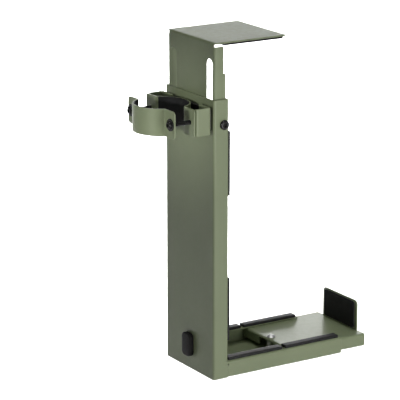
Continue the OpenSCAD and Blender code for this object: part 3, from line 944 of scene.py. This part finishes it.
def strips():
    """Eight strips: base strips lie along x on the lips, column strips stand on the upright's lips."""
    for node in (name for name in BODY if "_strip_" in name):
        low, high = corners(node)
        if node.startswith("base"):
            place = axes((1, 0, 0), (0, 1, 0), (0, 0, 1), low)
            size = (high.x - low.x, high.y - low.y, high.z - low.z)
        else:
            place = axes((0, 0, -1), (0, 1, 0), (1, 0, 0), (low.x, low.y, high.z))
            size = (high.z - low.z, high.y - low.y, high.x - low.x)
        build_surface(node, pillow(size, corner=1.0, edge=0.9, crown=0.25, seed=low.x, ripple=0.05), place)


def foam_pads():
    """The pad under the top plate, facing down, and the one on the end stop, facing the upright."""
    low, high = corners("top_pad")
    size = (high.x - low.x, high.y - low.y, high.z - low.z)
    place = axes((1, 0, 0), (0, -1, 0), (0, 0, -1), (low.x, high.y, high.z))
    shape = pillow(size, corner=2.5, edge=0.5, crown=0.2, seed=3.0, ripple=0.15)
    build_surface("top_pad", shape, place)
    low, high = corners("end_stop_pad")
    size = (high.y - low.y, high.z - low.z, high.x - low.x)
    place = axes((0, -1, 0), (0, 0, 1), (-1, 0, 0), (high.x, high.y, low.z))
    shape = pillow(size, corner=4.0, edge=0.9, crown=0.3, seed=7.0, ripple=0.2)
    build_surface("end_stop_pad", shape, place)


def leg_bumper():
    low, high = corners("leg_bumper")
    size = (high.z - low.z, high.y - low.y, high.x - low.x)
    place = axes((0, 0, 1), (0, 1, 0), (-1, 0, 0), (high.x, low.y, low.z))
    shape = pillow(size, corner=6.0, edge=1.6, crown=0.5, seed=5.0, ripple=0.05)
    build_surface("leg_bumper", shape, place)


# ---------------- fasteners

def along_x(x, y, z=0.0, sign=1):
    """Local +z along +x or -x."""
    return axes((0, sign, 0), (0, 0, 1), (sign, 0, 0), (x, y, z))


def clamp_fasteners():
    washers = Parts()
    nuts = Parts()
    washer_low, washer_high = corners("strap_washers")
    nut_low, nut_high = corners("clamp_nuts")
    for side_name in SIDES:
        node = "clamp_screw_" + side_name
        low, high = corners(node)
        y = (low.y + high.y) / 2
        head = (high.y - low.y, washer_low.x - low.x)
        rows = button_rows(*head, THREAD_R, high.x - washer_low.x)
        build_surface(node, turned(rows), along_x(washer_low.x, y))
        washer = washer_rows(CLEARANCE / 2, WASHER_R, 0, washer_high.x - washer_low.x)
        washers.add(*turned(washer, 48, ring=True), place=along_x(washer_low.x, y))
        nut = nut_rows(NUT_BORE_R, NUT_FLATS, nut_high.x - nut_low.x)
        nuts.add(*turned(nut, ring=True), place=along_x(nut_low.x, y))
    make_piece("strap_washers", washers.points, washers.faces)
    make_piece("clamp_nuts", nuts.points, nuts.faces)


def bracket_fasteners():
    screws, nuts = Parts(), Parts()
    low, high = corners("bracket_screws")
    nut_low, nut_high = corners("bracket_nuts")
    face = HOLDER.x + SHEET
    for side in SIDES.values():
        rows = button_rows(high.z - low.z, high.x - face, THREAD_R, face - low.x)
        screws.add(*turned(rows), place=along_x(face, side * SCREW_Y, 0, -1))
        nut = nut_rows(NUT_BORE_R, NUT_FLATS, nut_high.x - nut_low.x)
        nuts.add(*turned(nut, ring=True), place=along_x(nut_low.x, side * SCREW_Y))
    make_piece("bracket_screws", screws.points, screws.faces)
    make_piece("bracket_nuts", nuts.points, nuts.faces)


def height_screws():
    for side_name, side in SIDES.items():
        node = "height_screw_" + side_name
        low, high = corners(node)
        centre = (low + high) / 2
        face = side * (CHANNEL_W / 2 + 0.3)
        head_h = (high.y - face) if side > 0 else (face - low.y)
        length = (face - low.y) if side > 0 else (high.y - face)
        rows = button_rows(high.z - low.z, head_h, THREAD_R, length, 5.0)
        place = axes((1, 0, 0), (0, 0, side), (0, -side, 0), (centre.x, face, centre.z))
        build_surface(node, turned(rows), place)


def tray_fasteners():
    x = BOLT_X + HOLDER.x
    head_r, head_h = BOLT_HEAD_D / 2, BOLT_HEAD_H
    neck = 6.0
    deck = bolt_high.z - head_h
    dome = (head_r * head_r + head_h * head_h) / (2 * head_h)      # radius of the head's sphere
    rows = [circle_row(bolt_low.z, 2.2)]
    rows += thread_rows(bolt_low.z + 0.6, deck - SHEET - 1.5, 2.95)
    rows += [square_row(deck - SHEET - 0.3, neck - 0.6), square_row(deck - SHEET, neck)]
    rows += [square_row(deck, neck), circle_row(deck, head_r - 0.4)]
    rows += [circle_row(deck + 0.12, head_r - 0.06), circle_row(deck + 0.4, head_r)]
    reach = math.asin(head_r / dome)
    for k in range(1, 9):
        t = reach * (1 - k / 9)
        rows.append(circle_row(deck + head_h - dome + dome * math.cos(t), dome * math.sin(t)))
    build_surface("tray_bolt", turned(rows, 48), Matrix.Translation((x, 0, 0)))
    for node in ("tray_bush", "tray_washer"):
        low, high = corners(node)
        rows = washer_rows(CLEARANCE / 2, (high.x - low.x) / 2, low.z, high.z)
        build_surface(node, turned(rows, 48, ring=True), Matrix.Translation((x, 0, 0)))


def tray_wing_nut():
    """A boss tapering away from the washer, with two wings that flare outwards."""
    low, high = corners("tray_wing_nut")
    x = (low.x + high.x) / 2
    radius = (high.x - low.x) / 2
    bore = NUT_BORE_R + 0.05
    boss_low = high.z - 6.5
    rows = [circle_row(high.z - 0.3, bore), circle_row(high.z, 3.4)]
    rows += [circle_row(high.z, radius - 0.5), circle_row(high.z - 0.5, radius)]
    rows += [circle_row(high.z - 3.5, radius - 0.4), circle_row(boss_low + 0.5, radius - 1.0)]
    rows += [circle_row(boss_low, radius - 1.5), circle_row(boss_low, 3.5), circle_row(boss_low + 0.4, bore)]
    nut = Parts().add(*turned(rows[::-1], ring=True), place=Matrix.Translation((x, 0, 0)))
    span, depth = high.y, high.z - low.z
    wing = rounded([(3.6, -1.2, 0.5), (3.6, -5.9, 1.0), (7.5, -6.5, 3.0), (9.5, -depth, 2.0),
                    (span, -depth, 2.6), (span, -3.2, 3.6), (8.8, -2.6, 3.0)])

    def flat(u, v):
        return Vector((u, v, 0)), Vector((1, 0, 0)), Vector((0, 1, 0))

    points, faces, _ = sheet_mesh([wing], flat, [], thick=2.6, edge=1.0, steps=4)
    for side in (-1, 1):
        nut.add(points, faces, place=axes((0, side, 0), (0, 0, 1), (1, 0, 0), (x, 0, high.z)))
    make_piece("tray_wing_nut", nut.points, nut.faces)


# ---------------- assembly

upright_channel()
base_channel()
upper_slider()
sliding_tray()
clamp_strap()
clamp_bracket()
bracket_spacer()
liner("strap_liner", -1)
liner("bracket_liner", 1)
strips()
foam_pads()
leg_bumper()
clamp_fasteners()
bracket_fasteners()
height_screws()
tray_fasteners()
tray_wing_nut()


# ---------------- camera, floor and light

def area_light(name, place, target, size, power, beam=180):
    data = bpy.data.lights.new(name, "AREA")
    data.shape = "RECTANGLE"
    data.size, data.size_y = size
    data.energy = power
    data.spread = math.radians(beam)
    aim(name, data, place, target)


def spot_light(name, place, target, beam, power, radius):
    data = bpy.data.lights.new(name, "SPOT")
    data.energy = power
    data.spot_size = math.radians(beam)
    data.spot_blend = 1.0
    data.shadow_soft_size = radius
    aim(name, data, place, target)


def aim(name, data, place, target):
    lamp = bpy.data.objects.new(name, data)
    lamp.location = place
    lamp.rotation_euler = (Vector(target) - Vector(place)).to_track_quat("-Z", "Y").to_euler()
    bpy.context.scene.collection.objects.link(lamp)


def camera():
    data = bpy.data.cameras.new("camera")
    data.lens = 200.2
    data.sensor_width = 36
    data.clip_end = 50
    above, turn = 15.37, 31.88                       # degrees above the level and round from the front
    made = bpy.data.objects.new("camera", data)
    made.location = (-1.4389, -2.4079, 0.6582)
    made.rotation_euler = (math.radians(90 - above), 0, math.radians(-turn))
    bpy.context.scene.collection.objects.link(made)
    bpy.context.scene.camera = made


def stage():
    """A pale floor some way under the holder, as it hangs on a desk leg."""
    size = 12.0
    drop = 0.25
    mesh = bpy.data.meshes.new("floor")
    z = cad_box[0].z - drop
    around = [(-size, -size), (size, -size), (size, size), (-size, size)]
    mesh.from_pydata([(x, y, z) for x, y in around], [], [(0, 1, 2, 3)])
    floor = bpy.data.objects.new("floor", mesh)
    bpy.context.scene.collection.objects.link(floor)
    made, tree, shader, place = new_material("floor_paint")
    tone = spread(tree, noise_node(tree, place, 300, 3), 0, 1)
    link(tree, blend_colours(tree, tone, (0.90, 0.90, 0.90), (0.93, 0.93, 0.93)), shader.inputs["Base Color"])
    shader.inputs["Roughness"].default_value = 0.9
    shader.inputs["Specular IOR Level"].default_value = 0.1
    mesh.materials.append(made)


def light():
    """White studio: a bright wall behind and to the right, darker towards the desk leg's side."""
    world = bpy.data.worlds.new("studio")
    bpy.context.scene.world = world
    world.use_nodes = True
    tree = world.node_tree
    background = tree.nodes["Background"]
    background.inputs["Color"].default_value = (1, 1, 1, 1)
    towards = tree.nodes.new("ShaderNodeVectorMath")
    towards.operation = "DOT_PRODUCT"
    towards.inputs[1].default_value = (0.80, 0.35, -0.10)
    link(tree, tree.nodes.new("ShaderNodeTexCoord").outputs["Generated"], towards.inputs[0])
    link(tree, spread(tree, towards.outputs["Value"], 0.08, 0.45, -0.1, 0.7), background.inputs["Strength"])
    area_light("floor_softbox", (1.5, 2.3, 1.8), (1.6, 2.46, 0), size=(1.8, 4.4), power=62, beam=50)
    area_light("overhead_softbox", (0.3, 0.3, 3.5), (0.3, 0.3, 0), size=(9, 9), power=95, beam=40)
    area_light("back_card", (1.9, 3.0, 0.1), (0.2, 0, -0.33), size=(2.6, 0.6), power=55)
    area_light("front_softbox", (0.25, -1.4, -0.25), (0.15, 0, -0.2), size=(0.4, 0.9), power=12.5)
    spot_light("clamp_spot", (-2.4, -0.9, 0.3), (-0.02, -0.02, 0), beam=4.0, power=270, radius=0.08)


camera()
stage()
light()
bpy.context.scene.view_settings.view_transform = "Standard"
